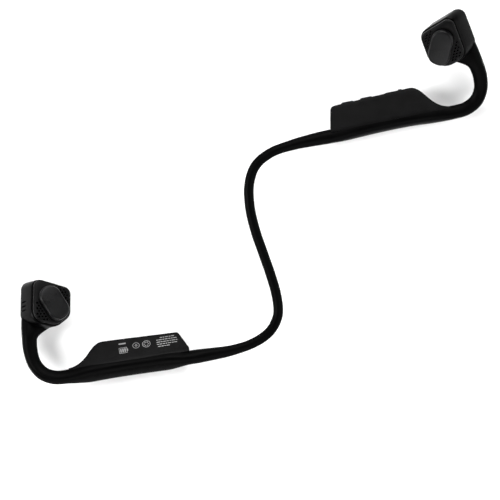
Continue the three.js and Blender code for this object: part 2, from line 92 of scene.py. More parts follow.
MIC_SLOT = dict(x=(-20, -8.6), z=(-7.6, -4.6), half=0.35, y=(-1.5, 0.6, 2.7))
PLAY = GAP * 0.7  # round the buttons and the port's flap
BUTTON = dict(z=-1.3, width=2.6, rise=1.3, foot=0.7, skirt=0.6, dome=1.0)
VOLUME = dict(volume_up_button=(-14, -7.4), volume_down_button=(-23.2, -16.6))
PORT = dict(x=-33.5, z=-1.3, length=9, width=3.8, sunk=1, rise=0.7, tab=0.5, corner=1.2)
PORT_MOUTH = dict(half_length=4, half_width=1.5, depth=9)
GRIP = dict(half_length=1, inset=0.5, sunk=0.2, from_end=1.5, corner=0.6)
SPINE = (
    (0, 0, 0), (-4, 0, 0), (-12, 0.7, -0.8), (-24, 1.2, -1.2), (-38, 1.2, -1.2), (-50, 0.4, -0.7),
    (-59, -0.3, 0), (-66, 0.2, 0.3), (-71.3, 2.8, 1.4), (-74.6, 7.5, 3.6), (-75.7, 13.6, 6.6),
    (-75.2, 19.6, 9.6), (-74, 25.4, 12.4), (-72.4, 31, 15), (-70.4, 36, 17),
)
BAND_PLAN = (
    (-21.4, -75.3), (-10.2, -73.2), (0.4, -69.4), (7.6, -64), (11.2, -56.6), (10.8, -48.4),
    (8.3, -38.8), (4.3, -27.2), (0.3, -15.6), (-2.2, -4.6), (-2.5, 6.6), (0.6, 15.4), (8, 21.5),
    (18.5, 25.3), (28, 27.6),
)


def edge_at(x):
    """Y of the fin's free edge."""
    return FIN["edge"] - FIN["fall"] * x


def mix(a, b, t):
    return a + (b - a) * t


def smoothstep(x, low, high):
    t = min(1, max(0, (x - low) / (high - low)))
    return t * t * (3 - 2 * t)


def bisect(low, high, steps, holds):
    """How far from low towards high holds stays true, found by halving."""
    for _ in range(steps):
        middle = (low + high) / 2
        if holds(middle):
            low = middle
        else:
            high = middle
    return low


# ---- Curves ----
class Spline:
    """A centripetal Catmull-Rom curve through points, read by its share of arc length."""

    def __init__(self, points, steps=24):
        points = [Vector(p).to_3d() for p in points]
        ends = [points[0] * 2 - points[1]] + points + [points[-1] * 2 - points[-2]]
        self.path = []
        for i in range(len(points) - 1):
            self.path += [self._piece(ends[i:i + 4], k / steps) for k in range(steps)]
        self.path.append(points[-1])
        self.lengths = [0.0]
        for a, b in zip(self.path, self.path[1:]):
            self.lengths.append(self.lengths[-1] + (b - a).length)
        self.length = self.lengths[-1]

    @staticmethod
    def _piece(p, share):
        t = [0.0]
        for a, b in zip(p, p[1:]):
            t.append(t[-1] + max((b - a).length, 1e-6) ** 0.5)
        u = mix(t[1], t[2], share)

        def between(a, b, ta, tb):
            return a * ((tb - u) / (tb - ta)) + b * ((u - ta) / (tb - ta))

        a1, a2, a3 = (between(p[i], p[i + 1], t[i], t[i + 1]) for i in range(3))
        b1, b2 = between(a1, a2, t[0], t[2]), between(a2, a3, t[1], t[3])
        return between(b1, b2, t[1], t[2])

    def at(self, share):
        goal = min(1, max(0, share)) * self.length
        low, high = 0, len(self.lengths) - 1
        while high - low > 1:
            middle = (low + high) // 2
            if self.lengths[middle] <= goal:
                low = middle
            else:
                high = middle
        span = self.lengths[high] - self.lengths[low]
        return self.path[low].lerp(self.path[high], (goal - self.lengths[low]) / max(span, 1e-9))

    def tangent(self, share, step=0.003):
        return (self.at(share + step) - self.at(share - step)).normalized()


# ---- Unit and pod frames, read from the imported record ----
class Unit:
    """One housing with its hook and pod: its place, its pod's shift and the lean of its back edge."""

    def __init__(self, side, sign, toward_band, give, back, corner):
        self.side = side
        self.give = Vector((*give, 0))
        self.back = back
        self.corner = corner
        roll = JOINTS[f"{side}_roll"]
        self.x = Vector(roll["axis"]) * toward_band
        self.z = Vector(MOUNTS[f"{side}_inner_face"]["axis"]).normalized()
        self.y = self.z.cross(self.x) * sign
        self.exit = Vector(roll["pos_m"]) / MM - self.x * (GAP / 2)
        self.matrix = Matrix.Identity(4)
        for column, axis in enumerate((self.x, self.y, self.z, self.exit)):
            for row in range(3):
                self.matrix[row][column] = axis[row]
        lean = Matrix.Rotation(math.radians(POD["lean"]), 4, "X")
        turn = Matrix.Rotation(math.radians(POD["turn"]), 4, "Y")
        self.in_unit = Matrix.Translation(Vector(POD["centre"]) + self.give) @ lean @ turn
        self.pod = self.matrix @ self.in_unit
        self.pod_normal = (self.in_unit.to_3x3() @ Vector((0, 0, 1))).normalized()
        points = []
        for point in SPINE:
            share = smoothstep(point[1], *HOOK_SHIFT) if point[0] < HOOK["neck"] else 0
            points.append(Vector(point) + self.give * share)
        self.spine = Spline(points)
        self.neck = self.share_at_x(HOOK["neck"])

    def metres(self, point):
        return self.matrix @ Vector(point) * MM

    def share_at_x(self, x):
        """The share of the spine's length at which its straight part passes x."""
        straight_end = 0.6
        return bisect(0.0, straight_end, 40, lambda share: self.spine.at(share).x > x)


LEFT = Unit("left", 1, 1, give=(0, 0), back=-4.5, corner=1)
RIGHT = Unit("right", -1, -1, give=(1.4, 0.7), back=-2.2, corner=2.2)


# ---- Mesh building ----
SMOOTH_ANGLE = 32
SAME_PLACE = 1e-6  # metres


def make(name, verts, faces, matrix, smooth_angle=SMOOTH_ANGLE):
    """A mesh object whose vertices are in millimetres in the given frame, its faces turned outwards."""
    mesh = bpy.data.meshes.new(name)
    mesh.from_pydata([tuple(matrix @ Vector(v) * MM) for v in verts], [], faces)
    mesh.validate()
    bm = bmesh.new()
    bm.from_mesh(mesh)
    bmesh.ops.remove_doubles(bm, verts=bm.verts, dist=SAME_PLACE)
    bmesh.ops.recalc_face_normals(bm, faces=bm.faces)
    if bm.calc_volume(signed=True) < 0:
        bmesh.ops.reverse_faces(bm, faces=bm.faces)
    bm.to_mesh(mesh)
    bm.free()
    obj = bpy.data.objects.new(name, mesh)
    bpy.context.scene.collection.objects.link(obj)
    shade(obj, smooth_angle)
    return obj


def shade(obj, angle):
    """Smooth faces, with the edges sharper than angle kept sharp."""
    mesh = obj.data
    for polygon in mesh.polygons:
        polygon.use_smooth = True
    bm = bmesh.new()
    bm.from_mesh(mesh)
    for edge in bm.edges:
        edge.smooth = len(edge.link_faces) == 2 and edge.calc_face_angle(0) < math.radians(angle)
    bm.to_mesh(mesh)
    bm.free()


def rings_mesh(name, rings, matrix, smooth_angle=SMOOTH_ANGLE):
    """A skin over rings with equally many points, capped at both ends."""
    count = len(rings[0])
    verts = [v for ring in rings for v in ring]
    faces = []
    for r in range(len(rings) - 1):
        here, there = r * count, (r + 1) * count
        faces += [(here + i, here + (i + 1) % count, there + (i + 1) % count, there + i)
                  for i in range(count)]
    faces.append(tuple(range(count)))
    faces.append(tuple(reversed(range(len(verts) - count, len(verts)))))
    return make(name, verts, faces, matrix, smooth_angle)


def apply_modifiers(obj):
    """Bakes the object's modifiers into its mesh."""
    graph = bpy.context.evaluated_depsgraph_get()
    mesh = bpy.data.meshes.new_from_object(obj.evaluated_get(graph))
    obj.modifiers.clear()
    obj.data = mesh


def cut(obj, cutters, angle=SMOOTH_ANGLE):
    """Takes the cutters away from obj and removes them."""
    for cutter in cutters:
        modifier = obj.modifiers.new("cut", "BOOLEAN")
        modifier.operation = "DIFFERENCE"
        modifier.solver = "EXACT"
        modifier.object = cutter
    bpy.context.view_layer.update()
    apply_modifiers(obj)
    for cutter in cutters:
        bpy.data.objects.remove(cutter)
    shade(obj, angle)


def rounded_polygon(corners, grow=0, per_corner=12, per_edge=6, longest=1.2):
    """Points round a polygon whose corners [x, y, radius] are arcs, grown outwards by grow.

    A stretch over longest is divided into per_edge."""
    n = len(corners)
    outs = []
    for i, (x, y, _) in enumerate(corners):
        u, v, _ = corners[(i + 1) % n]
        along = Vector((u - x, v - y)).normalized()
        outs.append(Vector((-along.y, along.x)))
    points = []
    for i, (x, y, radius) in enumerate(corners):
        before, after = outs[i - 1], outs[i]
        bisector = (before + after).normalized()
        centre = Vector((x, y)) - bisector * (radius / bisector.dot(after))
        start, end = math.atan2(before.y, before.x), math.atan2(after.y, after.x)
        if end > start:
            end -= 2 * math.pi
        for k in range(per_corner + 1):
            a = mix(start, end, k / per_corner)
            points.append(centre + Vector((math.cos(a), math.sin(a))) * (radius + grow))
    filled = []
    for i, p in enumerate(points):
        filled.append(p)
        q = points[(i + 1) % len(points)]
        if (q - p).length > longest:
            filled += [p.lerp(q, k / per_edge) for k in range(1, per_edge)]
    return filled


def fillet(low, high, radius, steps=6, both=True):
    """(z, inset) stations of a wall from low to high with rounded edges."""
    top = [(high - radius + radius * math.sin(a), radius - radius * math.cos(a))
           for a in (math.pi / 2 * k / steps for k in range(steps + 1))]
    bottom = [(low + high - z, inset) for z, inset in reversed(top)]
    return (bottom if both else [(low, 0)]) + top


def stack(outline, stations, skewed=False):
    """Rings of outline(grow) at each (z, inset); skewed leans them with the pod's shell."""
    rings = []
    for z, inset in stations:
        kx, ky = SKEW if skewed else (0, 0)
        rings.append([(p.x + kx * z, p.y + ky * z, z) for p in outline(-inset)])
    return rings


def cap_inwards(ring, steps, crown=0.0):
    """Smaller rings towards the middle of a ring, so that its face can be gently domed."""
    centre = sum((Vector(p) for p in ring), Vector()) / len(ring)
    rings = []
    for k in range(1, steps + 1):
        share = 1 - k / (steps + 0.5)
        lift = crown * (1 - share * share)
        rings.append([tuple(centre + (Vector(p) - centre) * share + Vector((0, 0, lift))) for p in ring])
    return rings


# ---- Procedural materials ----
def new_material(name, color, roughness, metallic=0.0, grain=0.25, grain_size=0.18, depth=0.03, mottle=0.25,
                 specular=0.5, scratches=0.0, coat=0.0):
    """A moulded or metal surface: fine grain over soft waves in its bump, cloudy colour and roughness,
    and fine lines on metal. Sizes are in millimetres."""
    material = bpy.data.materials.new(name)
    material.use_nodes = True
    nodes, links = material.node_tree.nodes, material.node_tree.links
    shader = nodes["Principled BSDF"]
    shader.inputs["Metallic"].default_value = metallic
    shader.inputs["Specular IOR Level"].default_value = specular
    shader.inputs["Coat Weight"].default_value = coat
    place = nodes.new("ShaderNodeTexCoord")

    def noise(size, detail):
        node = nodes.new("ShaderNodeTexNoise")
        node.inputs["Scale"].default_value = 1 / (size * MM)
        node.inputs["Detail"].default_value = detail
        node.inputs["Roughness"].default_value = 0.55
        links.new(place.outputs["Object"], node.inputs["Vector"])
        return node

    def ramp(source, low, high, first, last):
        node = nodes.new("ShaderNodeMapRange")
        node.inputs["From Min"].default_value = low
        node.inputs["From Max"].default_value = high
        node.inputs["To Min"].default_value = first
        node.inputs["To Max"].default_value = last
        links.new(source, node.inputs["Value"])
        return node.outputs["Result"]

    cloud_size, wave_size, line_size = 9, 4, 1.1
    wave_height, line_height = 0.05, 0.02
    clouds = noise(cloud_size, 4)
    fine = noise(grain_size, 2)
    tone = nodes.new("ShaderNodeValToRGB")
    dark = [c * (1 - mottle) for c in color]
    light = [min(1, c * (1 + mottle)) for c in color]
    tone.color_ramp.elements[0].position = 0.35
    tone.color_ramp.elements[1].position = 0.68
    tone.color_ramp.elements[0].color = (*dark, 1)
    tone.color_ramp.elements[1].color = (*light, 1)
    links.new(clouds.outputs["Fac"], tone.inputs["Fac"])
    links.new(tone.outputs["Color"], shader.inputs["Base Color"])

    rough = nodes.new("ShaderNodeMath")
    rough.operation = "ADD"
    links.new(ramp(clouds.outputs["Fac"], 0.3, 0.7, roughness - 0.05, roughness + 0.05), rough.inputs[0])
    links.new(ramp(fine.outputs["Fac"], 0.3, 0.7, -0.04, 0.06), rough.inputs[1])
    links.new(rough.outputs["Value"], shader.inputs["Roughness"])

    bump = nodes.new("ShaderNodeBump")
    bump.inputs["Strength"].default_value = grain
    bump.inputs["Distance"].default_value = depth * MM
    links.new(fine.outputs["Fac"], bump.inputs["Height"])
    waves = nodes.new("ShaderNodeBump")
    waves.inputs["Strength"].default_value = 0.25
    waves.inputs["Distance"].default_value = wave_height * MM
    links.new(noise(wave_size, 1).outputs["Fac"], waves.inputs["Height"])
    links.new(waves.outputs["Normal"], bump.inputs["Normal"])
    if scratches:
        stretch = nodes.new("ShaderNodeMapping")
        stretch.inputs["Scale"].default_value = (1, 14, 1)  # lines along one way
        links.new(place.outputs["Object"], stretch.inputs["Vector"])
        lines = noise(line_size, 3)
        links.new(stretch.outputs["Vector"], lines.inputs["Vector"])
        brushed = nodes.new("ShaderNodeBump")
        brushed.inputs["Strength"].default_value = scratches
        brushed.inputs["Distance"].default_value = line_height * MM
        links.new(lines.outputs["Fac"], brushed.inputs["Height"])
        links.new(bump.outputs["Normal"], brushed.inputs["Normal"])
        bump = brushed
    links.new(bump.outputs["Normal"], shader.inputs["Normal"])
    return material


LOOKS = {
    "silicone": new_material("silicone_skin", (0.0006, 0.0006, 0.00065), 0.42, grain=0.22, grain_size=0.12,
                             specular=0.024),
    "shell_plastic": new_material("shell_plastic", (0.0006, 0.0006, 0.00065), 0.3, grain=0.4,
                                  grain_size=0.22, specular=0.05),
    "cover_plastic": new_material("cover_plastic", (0.0019, 0.0019, 0.002), 0.34, grain=0.35,
                                  grain_size=0.2, specular=0.07),
    "pad_rubber": new_material("pad_rubber", (0.0026, 0.0026, 0.0028), 0.3, grain=0.2, grain_size=0.1,
                               specular=0.14),
    "button_plastic": new_material("button_plastic", (0.0013, 0.0013, 0.0014), 0.3, grain=0.25,
                                   specular=0.08),
    "titanium": new_material("titanium_wire", (0.45, 0.43, 0.41), 0.32, metallic=1, scratches=0.5,
                             mottle=0.08),
    "steel": new_material("stamped_steel", (0.5, 0.51, 0.52), 0.3, metallic=1, scratches=0.4,
                          mottle=0.08),
    "copper": new_material("enamelled_copper", (0.5, 0.2, 0.07), 0.34, metallic=1, scratches=0.7,
                           mottle=0.15),
    "circuit_board": new_material("circuit_board", (0.012, 0.09, 0.035), 0.35, grain=0.5, grain_size=0.4,
                                  coat=0.3),
    "battery_foil": new_material("battery_foil", (0.5, 0.51, 0.52), 0.36, metallic=1, grain=0.5,
                                 grain_size=0.9, depth=0.08),
}
SLOT_OF = {part["node"]: part["material_slot"] for part in frame["record"]["subparts"]}


def dress(obj, look):
    """Gives the object one material."""
    obj.data.materials.clear()
    obj.data.materials.append(LOOKS[look])


# ---- Spine, hook and neckband skins ----
SIDES = 72


def superellipse(centre, across, up, half_across, half_up, power):
    """A ring of SIDES points, an ellipse at power 2 and squarer above it."""
    def reach(c):
        return math.copysign(abs(c) ** (2 / power), c)

    ring = []
    for i in range(SIDES):
        a = -2 * math.pi * i / SIDES
        ring.append(centre + across * (half_across * reach(math.cos(a)))
                    + up * (half_up * reach(math.sin(a))))
    return ring


def spine_section(unit, share):
    """The ring round the spine or hook at a share of its length."""
    centre, tangent = unit.spine.at(share), unit.spine.tangent(share)
    into_pod = smoothstep(centre.y, *HOOK_TURN)
    facing = Vector((0, 0, 1)).lerp(unit.pod_normal, into_pod).normalized()
    across = tangent.cross(facing).normalized()
    up = across.cross(tangent).normalized()
    opening = smoothstep(-centre.x, 0, SPINE_HALF["taper"])
    into_hook = smoothstep(-centre.x, *HOOK_START)
    flare = smoothstep(centre.y, WEB["start"], WEB["end"])
    straight_width = mix(BAND["exit"], SPINE_HALF["width"], opening)
    straight_depth = mix(BAND["exit"] - BAND["flatter"], SPINE_HALF["depth"], opening)
    width = mix(straight_width, HOOK["width"], into_hook) + HOOK["widen"] * into_pod + WEB["width"] * flare
    depth = mix(straight_depth, HOOK["depth"], into_hook) + HOOK["deepen"] * into_pod - WEB["slim"] * flare
    centre = centre + across * (WEB["shift"] * flare)
    return superellipse(centre, across, up, width, depth, mix(POWER["exit"], POWER["spine"], opening))


def spread(low, high, count):
    """Count even steps from low to high, both included."""
    return [mix(low, high, k / (count - 1)) for k in range(count)]


def spine_and_hook(unit):
    """The skin along the housing's foot, and the one over the ear hook."""
    rings = [spine_section(unit, t) for t in spread(0, unit.neck, RINGS["spine"])]
    body = rings_mesh(f"{unit.side}_spine", rings, unit.matrix)
    # The spine is level with the housing's crease: the fin stands on the flat that this leaves.
    low = (FIN["toe"] - CREASE_ROOM["toe"], FIN["crease"] - HAIR, -CREASE_ROOM["half_depth"])
    high = (FIN["back"] + HAIR, CREASE_ROOM["height"], CREASE_ROOM["half_depth"])
    cut(body, [box_mesh(low, high, unit.matrix)])
    dress(body, "silicone")
    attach(body, f"{unit.side}_housing")
    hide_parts(f"{unit.side}_spine_skin")

    rings = [spine_section(unit, t) for t in spread(unit.neck, 1, RINGS["hook"])]
    hook = rings_mesh(f"{unit.side}_hook", rings, unit.matrix)
    cut(hook, [pod_room(unit)])
    keep_largest(hook)
    dress(hook, "silicone")
    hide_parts(f"{unit.side}_hook_skin")
    unit.metres((-61, -0.3, 0))
    unit.metres((-72, 7, 0))
    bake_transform(hook)


def box_mesh(low, high, matrix):
    (a, b, c), (d, e, f) = low, high
    rings = [[(a, b, z), (d, b, z), (d, e, z), (a, e, z)] for z in (c, f)]
    return rings_mesh("cutter", rings, matrix)


def circle(x, y, radius, z, sides):
    """Points round a level circle."""
    return [(x + radius * math.cos(a), y + radius * math.sin(a), z)
            for a in (2 * math.pi * i / sides for i in range(sides))]


def disc_mesh(x, y, radius, low, high, matrix, sides=48):
    return rings_mesh("cutter", [circle(x, y, radius, z, sides) for z in (low, high)], matrix)


def keep_largest(obj):
    """Drops the loose scraps that a cut leaves."""
    bm = bmesh.new()
    bm.from_mesh(obj.data)
    unseen = set(bm.verts)
    groups = []
    while unseen:
        group, edge_of = set(), [unseen.pop()]
        while edge_of:
            vert = edge_of.pop()
            group.add(vert)
            for edge in vert.link_edges:
                other = edge.other_vert(vert)
                if other in unseen:
                    unseen.discard(other)
                    edge_of.append(other)
        groups.append(group)
    groups.sort(key=len)
    for group in groups[:-1]:
        bmesh.ops.delete(bm, geom=list(group), context="VERTS")
    bm.to_mesh(obj.data)
    bm.free()


def band_skins():
    """The neckband's skin: five pieces, each spanning one joint, that meet between the joints."""
    flat_points = [(LEFT.exit.x, LEFT.exit.y), *BAND_PLAN, (RIGHT.exit.x, RIGHT.exit.y)]
    flat = Spline(flat_points)
    points = []
    for i in range(RINGS["band_route"] + 1):
        share = i / RINGS["band_route"]
        point = flat.at(share)
        point.z = mix(LEFT.exit.z, RIGHT.exit.z, smoothstep(share, 0, 1))
        points.append(point)
    curve = Spline(points)

    def ring(t):
        """The ring at a share of the band, turning from a unit's section to the band's round one."""
        centre, tangent = curve.at(t), curve.tangent(t)
        near, unit = (t, LEFT) if t < 0.5 else (1 - t, RIGHT)
        rounding = smoothstep(near * curve.length, 0, BAND["turn"])
        up = unit.z.lerp(Vector((0, 0, 1)), rounding)
        across = tangent.cross(up).normalized()
        up = across.cross(tangent).normalized()
        radius = mix(BAND["exit"], BAND["middle"], smoothstep(near, 0, BAND["taper"]))
        half_up = radius - BAND["flatter"] * (1 - rounding)
        power = mix(POWER["exit"], POWER["band"], rounding)
        return superellipse(centre, across, up, radius, half_up, power)

    bodies = ["left_housing", "left_leg", "left_mid", "right_mid", "right_leg", "right_housing"]
    cuts = [0] + [(BAND_JOINTS[i] + BAND_JOINTS[i + 1]) / 2 for i in range(4)] + [1]
    names = ["left_root", "left_bend", "middle_twist", "right_bend", "right_root"]
    for i, name in enumerate(names):
        rings = [ring(t) for t in spread(cuts[i], cuts[i + 1], RINGS["band"])]
        piece = rings_mesh(f"neckband_{name}", rings, Matrix.Identity(4))
        dress(piece, "silicone")
        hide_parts(*[f"{b}_sleeve" for b in bodies[i:i + 2] if not b.endswith("housing")])
        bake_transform(piece)


# ---- Fins ----
def fin_edge(unit, x):
    """Y of the fin's outline above its crease, from its leaning back to its long slope into the hook."""
    back, corner = unit.back, unit.corner
    front, toe = FIN["front"], FIN["toe"]
    lean = (FIN["back"] - back) / (edge_at(back) - FIN["back_foot"])
    first, last = back + lean * corner, back - corner
    if x > first:
        return mix(edge_at(back) - corner, FIN["back_foot"], (x - first) / (FIN["back"] - first))
    if x > last:
        def rounded(t):
            return first * (1 - t)**2 + back * 2 * t * (1 - t) + last * t**2

        share = bisect(0.0, 1.0, 30, lambda t: rounded(t) > x)
        return edge_at(back) - corner * (1 - share)**2
    if x >= front:
        return edge_at(x)
    reach, drop = FIN_SLOPE["end"]
    ahead, height = FIN_SLOPE["land"]
    start, end = Vector((front, edge_at(front))), Vector((toe - reach, drop))
    leave, land = Vector((front - FIN_SLOPE["leave"], edge_at(front))), Vector((toe + ahead, height))

    def slope(t):
        u = 1 - t
        return start * u**3 + leave * (3 * u * u * t) + land * (3 * u * t * t) + end * t**3

    return slope(bisect(0.0, 1.0, 30, lambda t: slope(t).x > x)).y


def fin_faces(x):
    """Z of the fin's outer and inner faces."""
    front, toe = FIN["front"], FIN["toe"]
    depth = HOOK["depth"]
    start = -(front + FIN_TAPER["start"])
    outer = mix(FIN["low"], -depth, smoothstep(-x, start, -(toe - FIN_TAPER["outer_end"])))
    inner = mix(FIN["high"], depth, smoothstep(-x, start, -(toe - FIN_TAPER["inner_end"])))
    return outer, inner


def fin_block(name, unit, low_of, high_of, shrink=0.0, steps_y=8):
    """A block under the fin's outline, between two heights that vary along X."""
    back = FIN["back"] - shrink
    toe = FIN["toe"] - FIN["toe_reach"] + shrink * 4
    corner_end = unit.back - unit.corner - 1
    stations = spread(back, corner_end, RINGS["fin_back"])[:-1]
    stations += spread(corner_end, toe, RINGS["fin_front"])
    verts, faces = [], []
    crease = FIN["crease"] + shrink
    rows = steps_y + 1
    for x in stations:
        top = max(fin_edge(unit, x) - shrink, crease + FIN["least"])
        for z in (low_of(x), high_of(x)):
            verts += [(x, mix(crease, top, k / steps_y), z) for k in range(rows)]
    width = 2 * rows
    for i in range(len(stations) - 1):
        a, b = i * width, (i + 1) * width
        for k in range(steps_y):
            faces.append((a + k, a + k + 1, b + k + 1, b + k))
            faces.append((a + rows + k, b + rows + k, b + rows + k + 1, a + rows + k + 1))
        for k in (0, steps_y):
            faces.append((a + k, b + k, b + rows + k, a + rows + k))
    for i in (0, len(stations) - 1):
        a = i * width
        faces += [(a + k, a + k + 1, a + rows + k + 1, a + rows + k) for k in range(steps_y)]
    return make(name, verts, faces, unit.matrix)


def fins(unit):
    """The housing's two hollow shells above the crease, split along their length."""
    split = FIN["split"]
    side = unit.side

    def cavity():
        return fin_block("cutter", unit, lambda x: fin_faces(x)[0] + WALL,
                         lambda x: fin_faces(x)[1] - WALL, shrink=WALL)

    outer = fin_block(f"{side}_fin_outer", unit, lambda x: fin_faces(x)[0], lambda x: split - SEAM)
    inner = fin_block(f"{side}_fin_inner", unit, lambda x: split + SEAM, lambda x: fin_faces(x)[1])
    for piece, node, look in ((outer, "outer_shell", "shell_plastic"),
                              (inner, "inner_cover", "cover_plastic")):
        weigh_edges(piece, unit, split)
        cutters = [cavity()]
        if side == "right" and piece is outer:
            cutters += edge_cutters(unit)
        cut(piece, cutters, angle=38)
        keep_largest(piece)
        dress(piece, look)
        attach(piece, f"{side}_housing")
        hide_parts(f"{side}_{node}")


def weigh_edges(piece, unit, split, sharp=35):
    """Rounds a fin shell's outside edges fully, and those at its split and crease less."""
    inverse = (Matrix.Scale(MM, 4) @ unit.matrix).inverted()
    mesh = piece.data
    mesh.attributes.new("bevel_weight_edge", "FLOAT", "EDGE")
    bm = bmesh.new()
    bm.from_mesh(mesh)
    layer = bm.edges.layers.float.get("bevel_weight_edge")
    for edge in bm.edges:
        if edge.calc_face_angle(0) < math.radians(sharp):
            continue
        middle = inverse @ ((edge.verts[0].co + edge.verts[1].co) / 2)
        if abs(middle.z - split) < FIN_BEVEL["near_split"]:
            edge[layer] = FIN_BEVEL["at_split"]
        elif abs(middle.y - FIN["crease"]) < FIN_BEVEL["near_crease"]:
            edge[layer] = FIN_BEVEL["at_crease"]
        else:
            edge[layer] = FIN_BEVEL["elsewhere"]
    bm.to_mesh(mesh)
    bm.free()
    modifier = piece.modifiers.new("round", "BEVEL")
    modifier.width = FIN_BEVEL["width"] * MM
    modifier.segments = FIN_BEVEL["segments"]
    modifier.limit_method = "WEIGHT"
    bpy.context.view_layer.update()
    apply_modifiers(piece)
    shade(piece, angle=40)


def stadium(x0, x1, width, sides=14):
    """Points round a slot with round ends from x0 to x1."""
    r = width / 2
    right = [(x1 - r + r * math.sin(a), -r * math.cos(a)) for a in spread(0, math.pi, sides)]
    left = [(x0 + r - r * math.sin(a), r * math.cos(a)) for a in spread(0, math.pi, sides)]
    return right + left


def button_rings(x0, x1, width, stations):
    """Rings of a stadium in XZ, stacked along Y at each (y, inset)."""
    z = BUTTON["z"]
    rings = []
    for y, inset in stations:
        points = stadium(x0 + inset, x1 - inset, width - 2 * inset)
        rings.append([(px, y, z + pz) for px, pz in points])
    return rings


def edge_cutters(unit):
    """The holes of the volume buttons and the charge port's recess."""
    cutters = []
    for x0, x1 in VOLUME.values():
        face = edge_at((x0 + x1) / 2)
        stations = [(face - WALL - PAST, 0), (face + PAST, 0)]
        rings = button_rings(x0 - PLAY, x1 + PLAY, BUTTON["width"] + 2 * PLAY, stations)
        cutters.append(rings_mesh("cutter", rings, unit.matrix))
    x, z = PORT["x"], PORT["z"]
    face = edge_at(x)

    def box(half_x, half_z, low, high):
        return box_mesh((x - half_x, low, z - half_z), (x + half_x, high, z + half_z), unit.matrix)

    recess = box(PORT["length"] / 2 + PLAY, PORT["width"] / 2 + PLAY, face - PORT["sunk"] - GAP,
                 face + PAST + 1)
    mouth = box(PORT_MOUTH["half_length"], PORT_MOUTH["half_width"], face - PORT_MOUTH["depth"], face)
    return cutters + [recess, mouth]


def volume_buttons(unit):
    """Two domed keys, each on a wider skirt inside the wall."""
    for name, (x0, x1) in VOLUME.items():
        face = edge_at((x0 + x1) / 2)
        wall = face - WALL
        rise = BUTTON["rise"]
        dome = [(face + rise * math.sin(a), BUTTON["dome"] * (1 - math.cos(a)))
                for a in spread(0, math.pi / 2, 9)]
        skirt = BUTTON["skirt"]
        foot = wall - GAP
        stations = [(foot - BUTTON["foot"], -skirt), (foot, -skirt), (foot + HAIR, 0)] + dome
        rings = button_rings(x0, x1, BUTTON["width"], stations)
        piece = rings_mesh(name.replace("_button", "_key"), rings, unit.matrix, smooth_angle=50)
        dress(piece, "pad_rubber")
        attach(piece, name)
        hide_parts(name)


def port_flap(unit):
    """The charge port's flap and the grip near its end."""
    x, z = PORT["x"], PORT["z"]
    face = edge_at(x)
    low, high = face - PORT["sunk"], face + PORT["rise"]

    def slab(name, half_x, half_z, y0, y1, at, radius):
        def outline(grow):
            corners = ((-half_x, half_z, radius), (half_x, half_z, radius), (half_x, -half_z, radius),
                       (-half_x, -half_z, radius))
            return rounded_polygon(corners, grow, per_corner=8)

        rings = [[(at + p.x, y, z + p.y) for p in outline(-inset)] for y, inset in fillet(y0, y1, 0.25, 4)]
        return rings_mesh(name, rings, unit.matrix, smooth_angle=50)

    half_length, half_width = PORT["length"] / 2, PORT["width"] / 2
    flap = slab("charge_port_flap", half_length, half_width, low, high, x, PORT["corner"])
    grip = slab("charge_port_grip", GRIP["half_length"], half_width - GRIP["inset"], high - GRIP["sunk"],
                high + PORT["tab"], x - half_length + GRIP["from_end"], GRIP["corner"])
    for piece in (flap, grip):
        dress(piece, "pad_rubber")
        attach(piece, "port_cover")
    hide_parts("port_cover")


# ---- Pods ----
POD_ANGLE = 38  # edges sharper than this stay sharp


def face_outline(grow):
    """The pod's rounded five-sided face, grown outwards by grow."""
    return rounded_polygon(FACE, grow)


def pod_room(unit):
    """The space a pod's shell takes, with a hairline round it."""
    stations = fillet(-POD["shell"] - SEAM, SEAM, POD["edge"])
    rings = stack(lambda grow: face_outline(grow + POD["lip"] + SEAM), stations, skewed=True)
    return rings_mesh("cutter", rings, unit.pod)


def pod_shell(unit):
    """The deep half of the pod: an open cup that leans towards the hook, with a chamfered rim."""
    lip = POD["lip"]
    depth = POD["shell"]
    # (z, inset): up the outside from its rounded foot to the rim, then down the inside to its floor.
    foot = [station for station in fillet(-depth, -0.7, POD["edge"]) if station[0] < -2.6]
    inner = [(0, 1.0), (-0.1, 1.25), (-depth + WALL + 0.5, 2), (-depth + WALL, 2.5)]
    rings = stack(lambda grow: face_outline(grow + lip), [*foot, *POD_RIM, *inner], skewed=True)
    name = f"{unit.side}_pod_body"
    shell = rings_mesh(name, rings, unit.pod, smooth_angle=POD_ANGLE)
    cutters = [disc_mesh(KEY["x"], KEY["y"], KEY["radius"] + GAP * 0.6, -depth - 1, -depth + WALL + 1,
                         unit.pod)]
    if unit.side == "left":
        for y in MIC_SLOT["y"]:
            rings = []
            for x in MIC_SLOT["x"]:
                points = stadium(*MIC_SLOT["z"], 2 * MIC_SLOT["half"], 8)
                rings.append([(x, y + b, a) for a, b in points])
            cutters.append(rings_mesh("cutter", rings, unit.pod))
    cut(shell, cutters, angle=POD_ANGLE)
    dress(shell, "shell_plastic")
    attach(shell, f"{unit.side}_pod")
    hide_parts(f"{unit.side}_pod_shell")


def inside(outline, x, y):
    """Whether x, y lies inside a closed outline."""
    odd = False
    for i, p in enumerate(outline):
        q = outline[(i + 1) % len(outline)]
        if (p.y > y) != (q.y > y) and x < (q.x - p.x) * (y - p.y) / (q.y - p.y) + p.x:
            odd = not odd
    return odd


def pad_axes():
    """The pad's long direction and the one across it, in the pod's face."""
    a = math.radians(PAD["angle"])
    along = Vector((math.cos(a), math.sin(a)))
    return along, Vector((-along.y, along.x))


